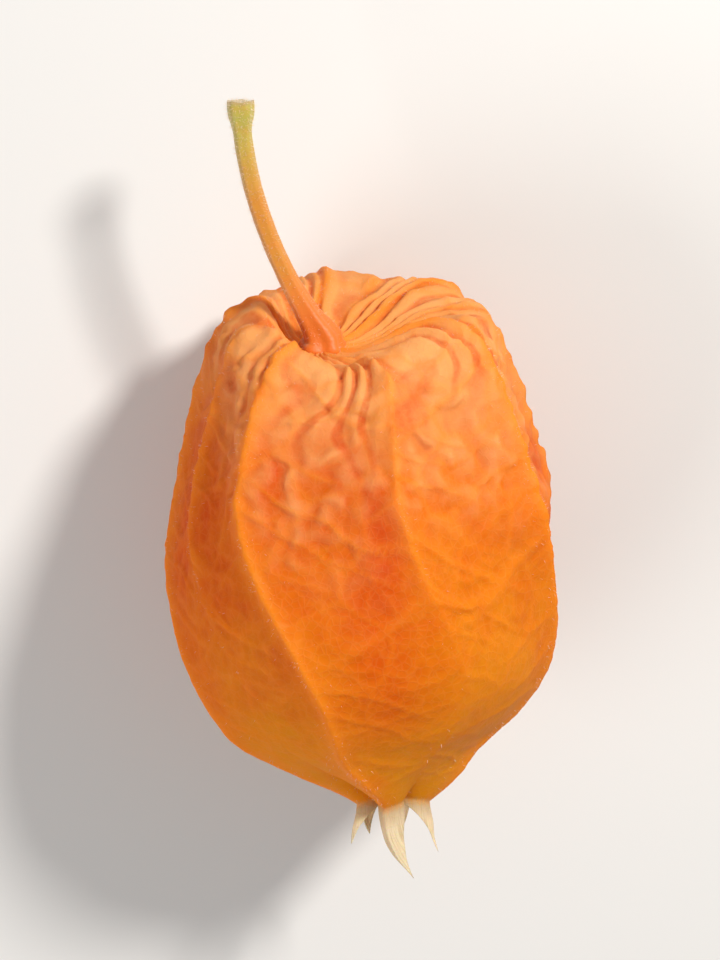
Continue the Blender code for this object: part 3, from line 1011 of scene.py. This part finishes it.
def make_berry():
    """A round berry, dimpled on the stalk's disc, with the small scar of the style below."""
    sides, rings = BERRY_SIDES, BERRY_RINGS
    tall = np.linspace(0, np.pi, rings + 1)[:, None]
    turn = np.linspace(0, 2 * np.pi, sides, endpoint=False)
    up = np.cos(tall) + 0 * turn
    out = np.sin(tall) + 0 * turn
    dimple = BERRY_DIMPLE / BERRY_HEIGHT * 2 * smoothstep(0.9, 1, up)
    scar = 0.035 * smoothstep(0.993, 1, -up) - 0.012 * ridge(up + 0.985, 0.006)
    unit = np.stack((out * np.cos(turn), out * np.sin(turn), up - dimple + scar), axis=-1)
    unit *= (1 + 0.006 * cloud(unit, 0.9, 31))[..., None]
    middle = at_seat(CAD_WALL + 2 * GAP + DISC_THICKNESS - BERRY_DIMPLE + BERRY_HEIGHT / 2)
    sizes = Matrix.Diagonal((BERRY_RADIUS, BERRY_RADIUS, BERRY_HEIGHT / 2, 1))
    tilt = Vector((0, 0, 1)).rotation_difference(SEAT_AXIS).to_matrix().to_4x4()
    matrix = np.array(LANTERN @ Matrix.Translation(middle) @ tilt @ sizes)
    places = unit @ matrix[:3, :3].T + matrix[:3, 3]
    ends = places[[0, -1], 0]
    body = places[1:-1]
    count = body[..., 0].size
    faces = grid_faces(rings - 1, sides, 0, True)
    faces += [(side, (side + 1) % sides, count) for side in range(sides)]
    last = count - sides
    faces += [(last + (side + 1) % sides, last + side, count + 1) for side in range(sides)]
    heights = np.concatenate((up[1:-1].ravel(), (1, -1)))
    return meshed("berry_fruit", np.vstack((body.reshape(-1, 3), ends)), faces, {"up": heights})


def berry_finish(choices):
    """Glossy juicy skin, paler by the stalk, with faint speckles and a brown scar."""
    finish = Finish("berry skin")
    up = finish.attribute("up")
    speckle = finish.ramp(finish.noise(0.5 * MM, 2), (0.58, 0), (0.68, 1))
    cloudy = finish.noise(5 * MM, 2)
    shade = finish.layered(
        choices.skin,
        (finish.ramp(up, (0.55, 0), (1.0, 1)) * 0.8, choices.blush),
        (speckle * 0.25 + cloudy * 0.2, choices.blush),
        (1 - finish.ramp(up + 1, (0.004, 0), (0.012, 1)), SCAR_TINT),
    )
    constants = {
        "IOR": 1.42,
        "Subsurface Weight": 0.45,
        "Subsurface Radius": (1.0, 0.25, 0.08),
        "Subsurface Scale": 1.6 * MM,
        "Coat Weight": 0.5,
        "Coat Roughness": 0.08,
    }
    height = finish.bump(finish.noise(0.6 * MM, 2), 0.02 * MM)
    return finish.plain(constants, shade, 0.16 + 0.1 * cloudy, height)


def make_light(name, power, place, size, tint):
    """A soft disc of light that points at the lantern."""
    data = bpy.data.lights.new(name, "AREA")
    data.shape = "DISK"
    data.size = size
    data.energy = power
    data.color = tint
    light = linked(name, data)
    light.location = place
    light.rotation_euler = (LIT_PLACE - light.location).to_track_quat("-Z", "Y").to_euler()


def make_camera():
    """Looks down on the lantern with its stalk at the top of the frame."""
    data = bpy.data.cameras.new("camera")
    data.lens = CAMERA_LENS
    data.sensor_width = CAMERA_SENSOR
    data.clip_start = 0.01
    low, high = (Vector(corner) for corner in CAD_BOX)
    target = (low + high) / 2
    away = Vector((0, math.cos(CAMERA_ELEVATION), math.sin(CAMERA_ELEVATION)))
    camera = linked("camera", data)
    camera.location = target + away * FRAME_HEIGHT * CAMERA_LENS / CAMERA_SENSOR
    camera.rotation_euler = (CAMERA_ELEVATION - math.pi / 2, 0, 0)
    bpy.context.scene.camera = camera


def make_floor(tint):
    """A plain pale floor, just under the lantern."""
    finish = Finish("pale floor")
    shade = finish.mix(finish.noise(0.05) * 0.2, tint, [value * 0.97 for value in tint])
    mesh = bpy.data.meshes.new("floor")
    sides = ((-1, -1), (1, -1), (1, 1), (-1, 1))
    corners = [(x * FLOOR_HALF_SIDE, y * FLOOR_HALF_SIDE, FLOOR_LEVEL) for x, y in sides]
    mesh.from_pydata(corners, [], [(0, 1, 2, 3)])
    mesh.materials.append(finish.plain({}, shade, finish.noise(0.02) * 0.1 + 0.6))
    floor = linked("floor", mesh)


class PHYSALIS_OT_husk(bpy.types.Operator):
    """Build the paper lantern with its ribs, net and dry lobes"""

    bl_idname = "physalis.husk"
    bl_label = "Build Husk"

    def execute(self, context):
        choices = context.scene.physalis_husk
        husk = make_husk(choices)
        husk.data.materials.append(husk_finish(choices))
        fitted(husk, "husk", "husk")
        return {"FINISHED"}


class PHYSALIS_OT_stalk(bpy.types.Operator):
    """Build the grooved stalk with its collar and inner disc"""

    bl_idname = "physalis.stalk"
    bl_label = "Build Stalk"

    def execute(self, context):
        choices = context.scene.physalis_stalk
        stalk = make_stalk(choices, stalk_finish(choices))
        fitted(stalk, "stalk", "stalk")
        return {"FINISHED"}


class PHYSALIS_OT_hairs(bpy.types.Operator):
    """Grow fine hairs on the ribs of the husk and on the stalk"""

    bl_idname = "physalis.hairs"
    bl_label = "Grow Hairs"

    def execute(self, context):
        husk, stalk = context.scene.physalis_husk, context.scene.physalis_stalk
        material = hair_finish(HAIR_TINT)
        for node, source, where, count, share, seed in (
            ("husk", "lantern_husk", "hairy", husk.hairs, HUSK_HAIR_SHARE, 5),
            ("stalk", "stalk_skin", "along", stalk.hairs, 1, 6),
        ):
            tall = stalk.hair_length * share
            fitted(hairs_on(source, where, f"{node}_hairs", count, tall, material, seed), node)
        return {"FINISHED"}


class PHYSALIS_OT_berry(bpy.types.Operator):
    """Build the glossy berry inside the husk"""

    bl_idname = "physalis.berry"
    bl_label = "Build Berry"

    def execute(self, context):
        berry = make_berry()
        berry.data.materials.append(berry_finish(context.scene.physalis_berry))
        fitted(berry, "berry", "berry")
        return {"FINISHED"}


class PHYSALIS_OT_stage(bpy.types.Operator):
    """Lay the floor, and set the lights and the camera"""

    bl_idname = "physalis.stage"
    bl_label = "Set Stage"

    def execute(self, context):
        choices = context.scene.physalis_stage
        make_camera()
        make_floor(choices.floor)
        make_light("key", choices.key, *KEY_LIGHT)
        make_light("fill", choices.fill, *FILL_LIGHT)
        world = bpy.data.worlds.new("sky")
        world.use_nodes = True
        background = world.node_tree.nodes["Background"]
        background.inputs["Color"].default_value = SKY_TINT
        background.inputs["Strength"].default_value = choices.sky
        context.scene.world = world
        context.scene.view_settings.view_transform = "Standard"
        return {"FINISHED"}


class PHYSALIS_PT_panel(bpy.types.Panel):
    """Sizes, colours and steps of the physalis fruit"""

    bl_label = "Physalis Fruit"
    bl_idname = "PHYSALIS_PT_panel"
    bl_space_type = "VIEW_3D"
    bl_region_type = "UI"
    bl_category = "Physalis"

    def draw(self, context):
        for name in CHOICES:
            box = self.layout.box()
            box.label(text=name.title())
            choices = getattr(context.scene, f"physalis_{name}")
            for key in choices.__annotations__:
                box.prop(choices, key)
            box.operator(f"physalis.{name}")
        self.layout.operator("physalis.hairs")


CHOICES = {"husk": HuskChoices, "stalk": StalkChoices, "berry": BerryChoices, "stage": StageChoices}
CLASSES = (
    *CHOICES.values(),
    PHYSALIS_OT_husk,
    PHYSALIS_OT_stalk,
    PHYSALIS_OT_hairs,
    PHYSALIS_OT_berry,
    PHYSALIS_OT_stage,
    PHYSALIS_PT_panel,
)


def register():
    for kind in CLASSES:
        bpy.utils.register_class(kind)
    for name, kind in CHOICES.items():
        setattr(bpy.types.Scene, f"physalis_{name}", bpy.props.PointerProperty(type=kind))


def unregister():
    for name in CHOICES:
        delattr(bpy.types.Scene, f"physalis_{name}")
    for kind in reversed(CLASSES):
        bpy.utils.unregister_class(kind)


def main():
    register()
    bpy.ops.physalis.stage()
    bpy.ops.physalis.husk()
    bpy.ops.physalis.stalk()
    bpy.ops.physalis.hairs()
    bpy.ops.physalis.berry()


if __name__ == "__main__":
    main()
